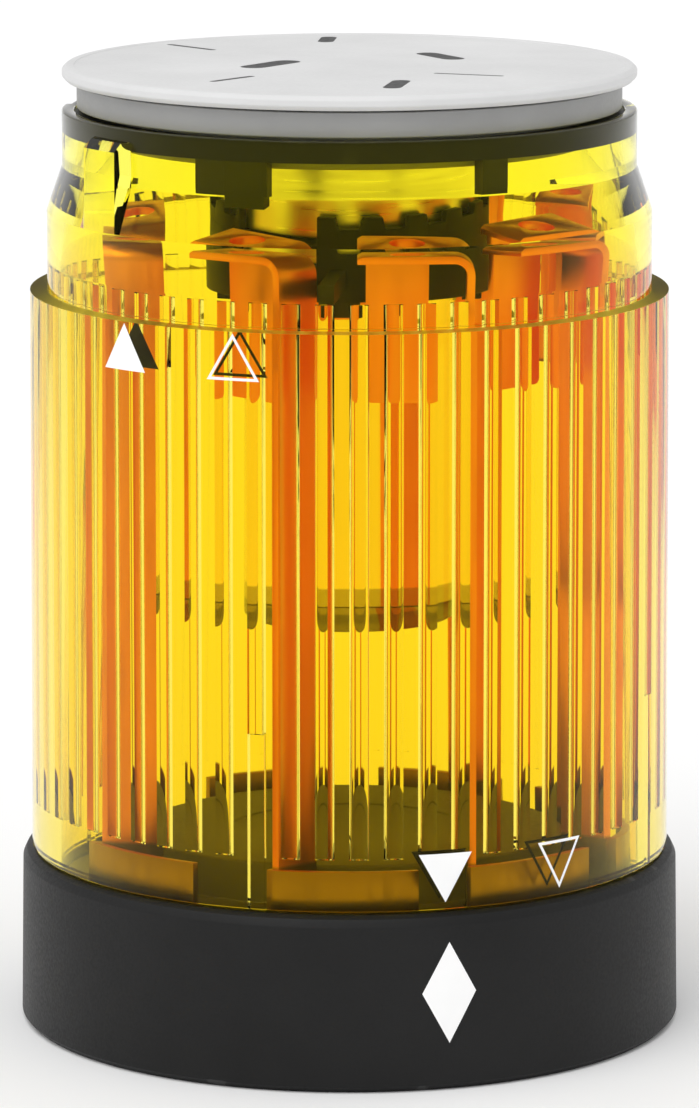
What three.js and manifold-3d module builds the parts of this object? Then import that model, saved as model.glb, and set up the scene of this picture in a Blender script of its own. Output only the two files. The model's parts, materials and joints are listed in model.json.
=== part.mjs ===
// A 70 mm signal-tower light element: a yellow ribbed lens on a black bayonet ring, with
// copper contact strips inside and a closing cap in its neck. Millimetres, +Z up, with the
// origin at the centre of the ring's bottom face. An angle is counted from the front (-Y)
// towards +X, and each repeated piece is drawn at the front and then turned about Z.
import * as THREE from "three";
import { mergeVertices } from "three/addons/utils/BufferGeometryUtils.js";
import Module from "manifold-3d";

const wasm = await Module();
wasm.setup();

// ---------- driving dimensions ----------
const GAP = 0.3; // clearance between two pieces that touch
const ROUND = 60; // sides of a large round piece
const SMALL_ROUND = 40; // sides of the pieces near the axis

const RING = {
  bottom: 36.5, top: 36.25, height: 19.2, chamfer: 0.7, bore: 34.85, lip: 34.0, lipHeight: 1.45,
};
const LUG = { angles: [164.5, 220.5, 296.5], halfAngle: 4.5, inner: 30.85, low: 9.0, high: 11.4 };
const TURN = 22.5; // degrees from locked to open
const STOP = { angle: 180, halfAngle: 2.5, outer: 34.3, low: 15.7, high: 17.5 };

const LENS = { low: 35.25, high: 34.95, start: 19.5, shoulder: 81.4, bore: 31.5 };
const SKIRT = { radius: 33.75, bead: 34.5, bottom: 16.0, beadHeight: 1.3 };
const NECK = { lower: 33.05, coneStart: 90.1, coneEnd: 95.0, upper: 31.35, bore: 29.95, top: 101.1 };
const NECK_TAPER_INSIDE = { start: 84.3, end: 96.0 };
const KEY = { angle: -54, halfAngle: 6.5, radius: 33.0, low: 90.0, high: 99.8, chamfer: 1.0 };
const RIB = { count: 56, first: 1.8, width: 2.0, sag: 0.5, low: 24.8, high: 84.0 };
const RAIL = { count: 4, first: -17.6, width: 1.6, depth: 0.6, top: 38.0 };

const STACK_PITCH = 84.4; // height from one element's base to the next one's
const GROOVE = { waysIn: [127, 183, 259], halfAngle: 5, floor: 30.55, play: 0.3 };

const FLOOR = { radius: LENS.bore - GAP, low: 17.4, high: 18.4, hub: 9.0, hubWall: 1.6, hubBottom: 12.0 };
const DRUM = { radius: 23.5, wall: 1.2, top: 22.8 };
const GASKET = { inner: 29.6, outer: 31.2, low: 16.7, high: 17.1 };

const STRIP = { angles: [-85, -40, 0, 40, 80, 120, 160], thick: 0.84, width: 6.0, side: 13.0, front: 26.8 };
const TAB = { top: 88.65, end: 0.8, bend: 2.2, holeRadius: 1.9, holeAt: 6.0 };
const PLATE = { from: 1.7, to: 8.3, bottom: 71.5 };
const FOOT = { low: 18.7, high: 23.3, inner: 29.8, outer: 30.6, sweep: 29.5, reach: 27.4 };
const PIN = { front: 25.4, back: 22.4, bottom: 16.6 };
const SPRING = { thick: 0.5, front: 26.0, back: 22.0, top: 16.3, contact: 4.0 };

const ROD = { radius: 11.7, bottom: 45.3, top: 82.4 };
const CROWN = { radius: 15.6, bore: 12.1, low: 82.0, seat: 86.3, wallBore: 14.7, high: 87.9 };
const TEETH = { count: 19, first: 9.3, height: 1.2 };
const CROWN_WINDOW = { from: -50, to: -13 };
const CROWN_LEG = { count: 4, first: -2, halfWidth: 1.6, outer: 14.4, bottom: 79.0 };
const CROWN_ARM = { angles: [-4.5, 157, 197], halfWidth: 0.8, low: 83.8, high: 86.0, reach: 30.6 };
const BOARD = { radius: 11.7, low: 84.2, high: 85.8 };
const LED = { side: 5.0, low: 82.7, high: 83.9 };
const SLEEVE = { outer: 14.4, inner: 13.7, low: 86.6, high: 98.5, lipInner: 12.9, lip: 0.7 };

const NECK_RING = { outer: 29.6, inner: 27.6, low: 98.7, high: 100.8 };
const NECK_TABS = [
  { from: -32.7, to: -16.8, low: 95.0 },
  { from: -26.0, to: -17.4, low: 93.4 },
  { from: 27.8, to: 33.7, low: 95.0 },
  { from: 148.0, to: 160.0, low: 95.0 },
  { from: 236.0, to: 248.0, low: 95.0 },
];

const COVER = { radius: 31.3, low: 104.3, high: 105.9, edge: 0.5 };
const COLLAR = { outer: 29.7, inner: 26.0, low: 101.3, high: 104.0 };
const SPIGOT = { outer: 27.3, bottom: 97.6 };
const COVER_SLOTS = [
  { x: -8.6, y: 0.0, length: 9.0, width: 3.0, turn: 54 },
  { x: -17.6, y: 17.0, length: 8.0, width: 0.9, turn: -48 },
  { x: -12.5, y: -14.0, length: 7.0, width: 0.9, turn: 50 },
  { x: -2.5, y: 25.0, length: 6.0, width: 1.8, turn: 85 },
  { x: 10.0, y: 8.0, length: 8.0, width: 2.6, turn: -60 },
  { x: 5.0, y: -19.0, length: 8.0, width: 2.0, turn: 80 },
  { x: 12.8, y: -10.0, length: 8.0, width: 0.8, turn: -20 },
];
const SLOT_DEPTH = 0.8;

const COLOURS = {
  lens: [0xffd820, 0.12, 0.0],
  black: [0x2e2e2e, 0.6, 0.0],
  floor: [0x6c6c62, 0.6, 0.0],
  copper: [0xd9772f, 0.35, 1.0],
  bronze: [0xb98a4a, 0.35, 1.0],
  metal: [0xc8c8c4, 0.3, 1.0],
  rubber: [0x1f1f1f, 0.85, 0.0],
  white: [0xdddddd, 0.5, 0.0],
  grey: [0x8c8c8c, 0.6, 0.0],
  board: [0x2f6b3a, 0.6, 0.0],
  led: [0xf6e36b, 0.3, 0.0],
};

// ---------- helpers ----------
const radians = THREE.MathUtils.degToRad;

// The angle in the XY plane that three.js uses for an angle counted from the front.
const planeAngle = (degrees) => radians(degrees - 90);

// A closed three.js geometry as a solid, with its faces turned to point out.
function solid(geometry) {
  const bare = new THREE.BufferGeometry();
  const flat = geometry.index ? geometry.toNonIndexed() : geometry;
  bare.setAttribute("position", flat.getAttribute("position"));
  const merged = mergeVertices(bare, 1e-4);
  const corners = Array.from(merged.index.array);
  const kept = [];
  for (let i = 0; i < corners.length; i += 3) {
    const [a, b, c] = corners.slice(i, i + 3);
    if (a !== b && b !== c && c !== a) kept.push(a, b, c);
  }
  const build = (indices) =>
    new wasm.Manifold(
      new wasm.Mesh({
        numProp: 3,
        vertProperties: merged.attributes.position.array,
        triVerts: new Uint32Array(indices),
      }),
    );
  const made = build(kept);
  return made.volume() < 0 ? build(kept.reverse()) : made;
}

function meshOf(name, body, look) {
  const data = body.getMesh();
  const points = new Float32Array(data.numVert * 3);
  for (let i = 0; i < data.numVert; i++) {
    points.set(data.vertProperties.subarray(i * data.numProp, i * data.numProp + 3), i * 3);
  }
  const geometry = new THREE.BufferGeometry();
  geometry.setAttribute("position", new THREE.BufferAttribute(points, 3));
  geometry.setIndex(new THREE.BufferAttribute(new Uint32Array(data.triVerts), 1));
  geometry.computeVertexNormals();
  const [color, roughness, metalness] = COLOURS[look];
  const mesh = new THREE.Mesh(geometry, new THREE.MeshStandardMaterial({ color, roughness, metalness }));
  mesh.name = name;
  return mesh;
}

// A solid of revolution about Z from a list of [radius, height]; a profile off the axis closes itself.
function turnedSolid(profile, sides = ROUND) {
  const points = profile.map(([radius, height]) => new THREE.Vector2(radius, height));
  const onAxis = profile[0][0] === 0 && profile[profile.length - 1][0] === 0;
  if (!onAxis) points.push(points[0].clone());
  return solid(new THREE.LatheGeometry(points, sides).rotateX(Math.PI / 2));
}

const tube = (inner, outer, low, high, sides = ROUND) =>
  turnedSolid([[inner, low], [outer, low], [outer, high], [inner, high]], sides);

const disc = (radius, low, high, sides = ROUND) =>
  turnedSolid([[0, low], [radius, low], [radius, high], [0, high]], sides);

// A flat outline in XY, raised from one height to another.
const raised = (shape, low, high, curveSegments = 6) =>
  solid(
    new THREE.ExtrudeGeometry(shape, { depth: high - low, bevelEnabled: false, curveSegments })
      .translate(0, 0, low),
  );

// An outline in XZ, carried back from the front distance to the rear distance.
const carriedBack = (shape, front, back, curveSegments = 4) =>
  solid(
    new THREE.ExtrudeGeometry(shape, { depth: front - back, bevelEnabled: false, curveSegments })
      .rotateX(Math.PI / 2)
      .translate(0, -back, 0),
  );

function sector(inner, outer, low, high, from, to) {
  const shape = new THREE.Shape();
  shape.absarc(0, 0, outer, planeAngle(from), planeAngle(to), false);
  shape.absarc(0, 0, inner, planeAngle(to), planeAngle(from), true);
  return raised(shape, low, high, Math.max(2, Math.ceil((to - from) / 6)));
}

// A box from two corners.
const block = (low, high) =>
  solid(
    new THREE.BoxGeometry(high[0] - low[0], high[1] - low[1], high[2] - low[2])
      .translate((low[0] + high[0]) / 2, (low[1] + high[1]) / 2, (low[2] + high[2]) / 2),
  );

const join = (bodies) => bodies.reduce((whole, body) => whole.add(body));
const cutAll = (body, tools) => tools.reduce((rest, tool) => rest.subtract(tool), body);
const around = (body, degrees) => body.rotate([0, 0, degrees]);
const copies = (count, first = 0) => Array.from({ length: count }, (_, k) => first + (360 / count) * k);

// ---------- housing ----------

// The outline of the lens bore: a flat and an inward bump for each rib.
function ribbedBore() {
  const period = (2 * Math.PI) / RIB.count;
  const bump = RIB.width / LENS.bore;
  const steps = 3;
  const points = [];
  for (let k = 0; k < RIB.count; k++) {
    const start = planeAngle(RIB.first) + k * period - bump / 2;
    for (let i = 0; i <= steps; i++) {
      const along = i / steps;
      const radius = LENS.bore - RIB.sag * 4 * along * (1 - along);
      const angle = start + along * bump;
      points.push(new THREE.Vector2(radius * Math.cos(angle), radius * Math.sin(angle)));
    }
  }
  return new THREE.Shape(points);
}

// The bayonet track in the neck: a way in from the top, and a slot that the ring's lug turns into.
function bayonetTrack(angle) {
  const slotLow = LUG.low + STACK_PITCH - GROOVE.play;
  const slotHigh = LUG.high + STACK_PITCH + GROOVE.play;
  const outside = NECK.lower + 1;
  const wayIn = sector(
    GROOVE.floor, outside, slotLow, NECK.top + 1, angle - GROOVE.halfAngle, angle + GROOVE.halfAngle,
  );
  const slot = sector(
    GROOVE.floor, outside, slotLow, slotHigh, angle - TURN - GROOVE.halfAngle, angle,
  );
  return wayIn.add(slot);
}

// The raised key on the neck, flush with the wider part below it and chamfered at its top.
function keySolid() {
  const whole = sector(
    NECK.bore + 0.5, KEY.radius, KEY.low, KEY.high, KEY.angle - KEY.halfAngle, KEY.angle + KEY.halfAngle,
  );
  const edge = turnedSolid([
    [KEY.radius - KEY.chamfer, KEY.high + 0.5],
    [KEY.radius + 0.5, KEY.high - KEY.chamfer],
    [KEY.radius + 1, KEY.high + 0.5],
  ]);
  return whole.subtract(edge);
}

function lensSolid() {
  const ribCrest = LENS.bore - RIB.sag - 0.4;
  const shell = turnedSolid([
    [LENS.bore, SKIRT.bottom],
    [SKIRT.bead, SKIRT.bottom],
    [SKIRT.bead, SKIRT.bottom + SKIRT.beadHeight],
    [SKIRT.radius, SKIRT.bottom + SKIRT.beadHeight],
    [SKIRT.radius, LENS.start],
    [LENS.low, LENS.start],
    [LENS.high, LENS.shoulder],
    [NECK.lower, LENS.shoulder],
    [NECK.lower, NECK.coneStart],
    [NECK.upper, NECK.coneEnd],
    [NECK.upper, NECK.top],
    [NECK.bore, NECK.top],
    [NECK.bore, NECK_TAPER_INSIDE.end],
    [LENS.bore, NECK_TAPER_INSIDE.start],
    [LENS.bore, RIB.high],
    [ribCrest, RIB.high],
    [ribCrest, RIB.low],
    [LENS.bore, RIB.low],
  ]);
  const rails = copies(RAIL.count, RAIL.first).map((angle) =>
    around(
      block(
        [-RAIL.width / 2, -LENS.bore - 0.5, FLOOR.high + GAP],
        [RAIL.width / 2, -LENS.bore + RAIL.depth, RAIL.top],
      ),
      angle,
    ),
  );
  const tracks = GROOVE.waysIn.map(bayonetTrack);
  const stopNotch = sector(
    SKIRT.radius, SKIRT.bead + 1, SKIRT.bottom - 1, SKIRT.bottom + SKIRT.beadHeight + GAP / 2,
    STOP.angle - STOP.halfAngle - 0.5, STOP.angle + STOP.halfAngle + TURN + 0.5,
  );
  const bore = raised(ribbedBore(), RIB.low - 1, RIB.high + 1);
  return cutAll(join([cutAll(shell, [bore]), ...rails, keySolid()]), [...tracks, stopNotch]);
}

// The dark grey floor under the lens: a flange, a raised drum with a hub under it, and a slot for
// each strip's pin.
function floorSolid() {
  const ceiling = DRUM.top - DRUM.wall;
  const hubBore = FLOOR.hub - FLOOR.hubWall;
  const plate = turnedSolid([
    [0, ceiling],
    [hubBore, ceiling],
    [hubBore, FLOOR.hubBottom],
    [FLOOR.hub, FLOOR.hubBottom],
    [FLOOR.hub, ceiling],
    [DRUM.radius - DRUM.wall, ceiling],
    [DRUM.radius - DRUM.wall, FLOOR.low],
    [FLOOR.radius, FLOOR.low],
    [FLOOR.radius, FLOOR.high],
    [DRUM.radius, FLOOR.high],
    [DRUM.radius, DRUM.top],
    [0, DRUM.top],
  ]);
  const slots = STRIP.angles.map((angle) =>
    around(
      block(
        [STRIP.side - STRIP.thick - GAP, -PIN.front - GAP, FLOOR.low - 1],
        [STRIP.side + GAP, -PIN.back + GAP, FLOOR.high + 1],
      ),
      angle,
    ),
  );
  return cutAll(plate, slots);
}

// One contact strip at the front: the leg, its bent tab with a hole, a hanging plate, a foot and a pin.
function stripSolid() {
  const inside = STRIP.side - STRIP.thick;
  const profile = new THREE.Shape();
  profile.moveTo(inside, FOOT.low);
  profile.lineTo(STRIP.side, FOOT.low);
  profile.lineTo(STRIP.side, TAB.top - TAB.bend);
  profile.absarc(STRIP.side - TAB.bend, TAB.top - TAB.bend, TAB.bend, 0, Math.PI / 2, false);
  profile.lineTo(TAB.end, TAB.top);
  profile.lineTo(TAB.end, TAB.top - STRIP.thick);
  profile.absarc(
    STRIP.side - TAB.bend, TAB.top - TAB.bend, TAB.bend - STRIP.thick, Math.PI / 2, 0, true,
  );
  const back = STRIP.front - STRIP.width;
  const leg = carriedBack(profile, STRIP.front, back);
  const plate = block(
    [PLATE.from, -back - STRIP.thick, PLATE.bottom],
    [PLATE.to, -back, TAB.top - STRIP.thick / 2],
  );
  const toe = block([inside, -FOOT.reach, FOOT.low], [STRIP.side, -STRIP.front + 1, FOOT.high]);
  const start = THREE.MathUtils.radToDeg(Math.atan2(inside, FOOT.reach));
  const foot = sector(FOOT.inner, FOOT.outer, FOOT.low, FOOT.high, start, start + FOOT.sweep);
  const pin = block([inside, -PIN.front, PIN.bottom], [STRIP.side, -PIN.back, FOOT.low + 1]);
  const middle = STRIP.front - STRIP.width / 2;
  const hole = disc(TAB.holeRadius, TAB.top - 2, TAB.top + 1, 16).translate([TAB.holeAt, -middle, 0]);
  return join([leg, plate, toe, foot, pin]).subtract(hole);
}

// The leaf under the floor that presses on the tab of the element below.
function springSolid() {
  const top = SPRING.top;
  const leaf = [[STRIP.side, top], [4.0, top], [-3.0, SPRING.contact], [-6.5, SPRING.contact + 1.6]];
  const under = leaf.map(([x, z]) => [x, z - SPRING.thick]).reverse();
  const shape = new THREE.Shape([...leaf, ...under].map(([x, z]) => new THREE.Vector2(x, z)));
  return carriedBack(shape, SPRING.front, SPRING.back);
}

// The black holder above the rod: a ring with a thin castellated wall that has a window at its
// front left, legs around the rod and arms to the lens wall.
function crownSolid() {
  const ring = tube(CROWN.bore, CROWN.radius, CROWN.low, CROWN.seat, SMALL_ROUND);
  const wall = tube(CROWN.wallBore, CROWN.radius, CROWN.seat - 0.5, CROWN.high, SMALL_ROUND);
  const aboveTeeth = CROWN.high + TEETH.height + 1;
  const window = sector(
    CROWN.bore, CROWN.radius + 1, CROWN.seat, aboveTeeth, CROWN_WINDOW.from, CROWN_WINDOW.to,
  );
  const pitch = 360 / TEETH.count;
  const teeth = copies(TEETH.count, TEETH.first).map((angle) =>
    sector(
      CROWN.wallBore + 0.1, CROWN.radius - 0.1, CROWN.high - 0.5, CROWN.high + TEETH.height,
      angle - pitch / 4, angle + pitch / 4,
    ),
  );
  const legs = copies(CROWN_LEG.count, CROWN_LEG.first).map((angle) =>
    around(
      block(
        [-CROWN_LEG.halfWidth, -CROWN_LEG.outer, CROWN_LEG.bottom],
        [CROWN_LEG.halfWidth, -CROWN.bore - 0.2, CROWN.low + 1],
      ),
      angle,
    ),
  );
  const arms = CROWN_ARM.angles.map((angle) =>
    around(
      block(
        [-CROWN_ARM.halfWidth, -CROWN_ARM.reach, CROWN_ARM.low],
        [CROWN_ARM.halfWidth, -CROWN.radius + 1, CROWN_ARM.high],
      ),
      angle,
    ),
  );
  return join([ring, join([wall, ...teeth]).subtract(window), ...legs, ...arms]);
}

// The metal sleeve that stands in the holder above the light source, turned in at its top.
const sleeveSolid = () =>
  turnedSolid(
    [
      [SLEEVE.inner, SLEEVE.low],
      [SLEEVE.outer, SLEEVE.low],
      [SLEEVE.outer, SLEEVE.high - SLEEVE.lip],
      [SLEEVE.outer - SLEEVE.lip, SLEEVE.high],
      [SLEEVE.lipInner, SLEEVE.high],
      [SLEEVE.lipInner, SLEEVE.high - SLEEVE.lip],
      [SLEEVE.inner, SLEEVE.high - SLEEVE.lip],
    ],
    SMALL_ROUND,
  );

// The black ring inside the neck, with tabs that hang from it.
function neckRingSolid() {
  const ring = tube(NECK_RING.inner, NECK_RING.outer, NECK_RING.low, NECK_RING.high);
  const tabs = NECK_TABS.map(({ from, to, low }) =>
    sector(NECK_RING.inner + 0.2, NECK_RING.outer - 0.1, low, NECK_RING.low + 0.5, from, to),
  );
  return join([ring, ...tabs]);
}

const rodSolid = () =>
  turnedSolid(
    [[0, ROD.bottom], [ROD.radius - 0.4, ROD.bottom], [ROD.radius, ROD.bottom + 0.4], [ROD.radius, ROD.top],
      [0, ROD.top]],
    SMALL_ROUND,
  );

// ---------- turning ring ----------
function ringSolid() {
  const shell = turnedSolid([
    [RING.bore, 0],
    [RING.bottom - RING.chamfer, 0],
    [RING.bottom, RING.chamfer],
    [RING.top, RING.height - 1.2],
    [RING.top - 0.4, RING.height - 0.35],
    [RING.top - 1.2, RING.height],
    [RING.lip, RING.height],
    [RING.lip, RING.height - RING.lipHeight],
    [RING.bore, RING.height - RING.lipHeight],
  ]);
  const lugs = LUG.angles.map((angle) =>
    sector(LUG.inner, RING.bore + 0.4, LUG.low, LUG.high, angle - LUG.halfAngle, angle + LUG.halfAngle),
  );
  const stop = sector(
    SKIRT.radius + GAP, RING.bore + 0.4, STOP.low, STOP.high,
    STOP.angle - STOP.halfAngle, STOP.angle + STOP.halfAngle,
  );
  return join([shell, ...lugs, stop]);
}

// ---------- closing cap ----------
function coverSolid() {
  const plate = turnedSolid([
    [0, COVER.low],
    [COVER.radius - COVER.edge, COVER.low],
    [COVER.radius, COVER.low + COVER.edge],
    [COVER.radius, COVER.high - COVER.edge],
    [COVER.radius - COVER.edge, COVER.high],
    [0, COVER.high],
  ]);
  const slots = COVER_SLOTS.map(({ x, y, length, width, turn }) =>
    around(
      block([-length / 2, -width / 2, COVER.high - SLOT_DEPTH], [length / 2, width / 2, COVER.high + 1]),
      turn,
    ).translate([x, y, 0]),
  );
  return cutAll(plate, slots);
}

const collarSolid = () =>
  turnedSolid([
    [COLLAR.inner, SPIGOT.bottom],
    [SPIGOT.outer, SPIGOT.bottom],
    [SPIGOT.outer, COLLAR.low],
    [COLLAR.outer, COLLAR.low],
    [COLLAR.outer, COLLAR.high],
    [COLLAR.inner, COLLAR.high],
  ]);

// ---------- assembly ----------
const housing = new THREE.Group();
housing.add(
  meshOf("lens", lensSolid(), "lens"),
  meshOf("inner_floor", floorSolid(), "floor"),
  meshOf("seat_gasket", tube(GASKET.inner, GASKET.outer, GASKET.low, GASKET.high), "rubber"),
  meshOf("light_rod", rodSolid(), "lens"),
  meshOf("crown_holder", crownSolid(), "black"),
  meshOf("lamp_sleeve", sleeveSolid(), "metal"),
  meshOf("led_board", disc(BOARD.radius, BOARD.low, BOARD.high, SMALL_ROUND), "board"),
  meshOf(
    "led_chip",
    block([-LED.side / 2, -LED.side / 2, LED.low], [LED.side / 2, LED.side / 2, LED.high]),
    "led",
  ),
  meshOf("neck_ring", neckRingSolid(), "black"),
);
const strip = stripSolid();
const spring = springSolid();
STRIP.angles.forEach((angle, index) => {
  housing.add(
    meshOf(`contact_strip_${index + 1}`, around(strip, angle), "copper"),
    meshOf(`contact_spring_${index + 1}`, around(spring, angle), "bronze"),
  );
});

const cap = new THREE.Group();
cap.add(meshOf("top_cover", coverSolid(), "white"), meshOf("cover_collar", collarSolid(), "grey"));

const part = new THREE.Group();
part.add(housing, meshOf("base_ring", ringSolid(), "black"), cap);
export default part;
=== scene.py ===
"""The looks of a signal-tower light element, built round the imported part.

Lengths in this file are millimetres unless a name says otherwise, and make_object() turns them into metres.
An angle is counted in degrees from the front (-Y) towards +X.
"""
import json
import math

import bpy
import numpy as np
from mathutils import Matrix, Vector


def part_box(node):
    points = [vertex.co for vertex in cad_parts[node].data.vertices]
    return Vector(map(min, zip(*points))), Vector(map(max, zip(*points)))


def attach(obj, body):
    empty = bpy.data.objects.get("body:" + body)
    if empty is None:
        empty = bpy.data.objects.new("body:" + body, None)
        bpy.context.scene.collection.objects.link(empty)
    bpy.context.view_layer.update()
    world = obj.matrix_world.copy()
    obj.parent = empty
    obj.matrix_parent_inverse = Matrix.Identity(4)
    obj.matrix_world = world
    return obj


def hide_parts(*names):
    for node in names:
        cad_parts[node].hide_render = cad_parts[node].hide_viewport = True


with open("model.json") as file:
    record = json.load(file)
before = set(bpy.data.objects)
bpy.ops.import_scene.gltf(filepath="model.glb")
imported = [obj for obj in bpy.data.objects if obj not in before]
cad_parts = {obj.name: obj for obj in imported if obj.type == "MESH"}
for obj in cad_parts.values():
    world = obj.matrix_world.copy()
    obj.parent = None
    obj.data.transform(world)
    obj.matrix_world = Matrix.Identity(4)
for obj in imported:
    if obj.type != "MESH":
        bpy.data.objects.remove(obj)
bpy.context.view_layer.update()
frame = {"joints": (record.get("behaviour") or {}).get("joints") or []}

MM = 0.001
HOUSING, RING_BODY, CAP = "housing", "turning_ring", "cap"


def node_box(node):
    """A CAD node's lowest and highest corner in millimetres."""
    low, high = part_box(node)
    return [value / MM for value in low], [value / MM for value in high]


# ---------- driving dimensions ----------
RING_HIGH = node_box("base_ring")[1]
LENS_LOW, LENS_HIGH = node_box("lens")
ROD_LOW, ROD_HIGH = node_box("light_rod")
CROWN_LOW, CROWN_HIGH = node_box("crown_holder")
SLEEVE_LOW, SLEEVE_HIGH = node_box("lamp_sleeve")
BOARD_LOW, BOARD_HIGH = node_box("led_board")
CHIP_LOW, CHIP_HIGH = node_box("led_chip")
NECK_RING_HIGH = node_box("neck_ring")[1]
COVER_LOW, COVER_HIGH = node_box("top_cover")
COLLAR_LOW, COLLAR_HIGH = node_box("cover_collar")
GASKET_LOW, GASKET_HIGH = node_box("seat_gasket")
FLOOR_LOW, FLOOR_HIGH = node_box("inner_floor")
STRIP_LOW, STRIP_HIGH = node_box("contact_strip_3")
SPRING_LOW, SPRING_HIGH = node_box("contact_spring_3")

TURN = frame["joints"][0]["range_deg"][1]
STACK_PITCH = 84.4

RING_RADIUS, RING_HEIGHT = RING_HIGH[0], RING_HIGH[2]
RING_TOP_RADIUS, RING_BORE, RING_LIP_RADIUS, RING_LIP_HEIGHT = 36.25, 34.85, 34.0, 1.45
RING_CHAMFER, RING_ROUNDING = 0.7, 1.2
LUGS = {"angles": [164.5, 220.5, 296.5], "half_angle": 4.5, "inner": 30.85, "low": 9.0, "high": 11.4}
LUG_EASE = {"edge": 0.25, "end": 0.5, "end_degrees": 1.0}  # how far a lug falls back at its edges and ends
STOP = {"angle": 180.0, "half_angle": 2.5, "inner": 34.05, "low": 15.7, "high": 17.5, "play": 0.5}

WALL_LOW_RADIUS, WALL_HIGH_RADIUS, WALL_START, SHOULDER = LENS_HIGH[0], 34.95, 19.5, 81.4
SKIRT_RADIUS, BEAD_RADIUS, BEAD_TOP = 33.75, 34.5, 17.3
LENS_BORE = 31.5
NECK_LOW_RADIUS, NECK_RADIUS, NECK_BORE, NECK_TOP = 33.05, 31.35, 29.95, LENS_HIGH[2]
NECK_MIDDLE = NECK_BORE + 0.8  # a point of the neck further out than this is on its outer side
CONE_START, CONE_END, TAPER_START, TAPER_END = 90.1, 95.0, 84.3, 96.0
KEY = {"angle": -54.0, "half_angle": 6.5, "radius": 33.0, "high": 99.8, "corner": 1.0, "slope": 1.5}
RIBS = {"count": 56, "first": 1.8, "width": 2.0, "depth": 0.5, "low": 24.8, "high": 84.0}
RIB_PERIOD = 360.0 / RIBS["count"]
RIB_HALF_ANGLE = math.degrees(RIBS["width"] / LENS_BORE) / 2
RAILS = {"count": 4, "first": -17.6, "width": 1.6, "depth": 0.6, "low": 18.7, "high": 38.0}
TRACK = {"ways_in": [127.0, 183.0, 259.0], "half_angle": 5.0, "floor": 30.55, "play": 0.3}
TRACK_LOW = LUGS["low"] + STACK_PITCH - TRACK["play"]
TRACK_HIGH = LUGS["high"] + STACK_PITCH + TRACK["play"]
STEP = 0.05  # half the height over which a moulded step rises

STRIP_ANGLES = [-85.0, -40.0, 0.0, 40.0, 80.0, 120.0, 160.0]
STRIP = {"thick": 0.84, "side": 13.0, "front": 26.8, "back": 20.8, "bend": 2.2}
TAB = {"top": STRIP_HIGH[2], "end": STRIP_LOW[0], "hole_radius": 1.9, "hole_at": 6.0}
TAB_TIP = {"run": 0.5, "drop": 0.3}
PLATE = {"start": 1.7, "end": 8.3, "bottom": 71.5}
FOOT = {"low": 18.7, "high": 23.3, "inner": 29.8, "outer": 30.6, "sweep": 29.5, "reach": 27.4}
PIN = {"front": 25.4, "back": 22.4, "bottom": STRIP_LOW[2]}
SPRING = {"thick": 0.5, "front": 26.0, "back": 22.0, "bend": 4.0, "contact": -3.0, "tip_lift": 1.6}

CROWN = {"radius": 15.6, "bore": 12.1, "wall_bore": 14.7, "low": 82.0, "seat": 86.3, "high": 87.9}
TEETH = {"count": 19, "first": 9.3, "half_share": 0.265, "slope_share": 0.04}  # shares of the pitch
CROWN_WINDOW = {"start": -50.0, "end": -13.0}
CROWN_LEGS = {"angles": [-2.0, 88.0, 178.0, 268.0], "half_width": 1.6, "outer": 14.4, "top": 83.0}
CROWN_ARMS = {"angles": [-4.5, 157.0, 197.0], "half_width": 0.8, "low": 83.8, "high": 86.0, "reach": 30.6}
NECK_TABS = [  # start angle, end angle and lowest height of each hanging tab
    (-32.7, -16.8, 95.0),
    (-26.0, -17.4, 93.4),
    (27.8, 33.7, 95.0),
    (148.0, 160.0, 95.0),
    (236.0, 248.0, 95.0),
]
NECK_RING_BOTTOM = 98.7

COVER_RADIUS, COVER_TOP, COVER_BOTTOM = COVER_HIGH[0], COVER_HIGH[2], COVER_LOW[2]
COLLAR_RADIUS, COLLAR_BORE, COLLAR_BOTTOM = COLLAR_HIGH[0], 26.0, 101.3
SPIGOT_RADIUS = 27.3
COVER_SLOTS = [  # x, y, length, width and turn of each sunk slot
    (-8.6, 0.0, 9.0, 3.0, 54.0),
    (-17.6, 17.0, 8.0, 0.9, -48.0),
    (-12.5, -14.0, 7.0, 0.9, 50.0),
    (-2.5, 25.0, 6.0, 1.8, 85.0),
    (10.0, 8.0, 8.0, 2.6, -60.0),
    (5.0, -19.0, 8.0, 2.0, 80.0),
    (12.8, -10.0, 8.0, 0.8, -20.0),
]
SLOT_DEPTH = 0.8
# Black fills in the cover slots, painted shade for the dark inside of openings.
SLOT_SHADE_FILL = {"narrower": 0.1, "lift": 0.02, "sunk": 0.13}

MARK_HALF_WIDTH, MARK_STROKE, PRINT_THICKNESS = 2.95, 0.3, 0.02
RING_MARK = {"angle": 17.0, "low": 5.2, "high": 16.2, "half_width": 3.0}
LOWER_MARKS = {"low": 20.3, "high": 25.6, "solid": 16.8, "outline": 39.6}
UPPER_MARKS = {"low": 76.2, "high": 81.2, "solid": -42.9, "outline": -20.5}
MARK_REFLECTION_RADIUS = 31.75  # the black copies of the lens marks, a painted reflection of the marks' dark backs in the bore, lie in the lens wall

# distance and height in metres, lens and sensor in millimetres
CAMERA = {"distance": 0.7076, "height": 0.185, "pitch_down": 10.68, "lens": 141.34, "sensor": 24.0}


# ---------- mesh helpers ----------
def make_object(name, vertices, faces, sharp_degrees=32.0):
    """An object of the given mesh, smooth but for edges sharper than sharp_degrees."""
    mesh = bpy.data.meshes.new(name)
    mesh.from_pydata((np.asarray(vertices, float) * MM).tolist(), [], faces)
    mesh.validate()
    mesh.shade_smooth()
    mesh.set_sharp_from_angle(angle=math.radians(sharp_degrees))
    made = bpy.data.objects.new(name, mesh)
    bpy.context.scene.collection.objects.link(made)
    return made


def at_angle(radius, degrees, height):
    """The point at a radius, an angle from the front and a height."""
    turn = np.radians(degrees)
    return np.stack([radius * np.sin(turn), -radius * np.cos(turn), height], axis=-1)


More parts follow.
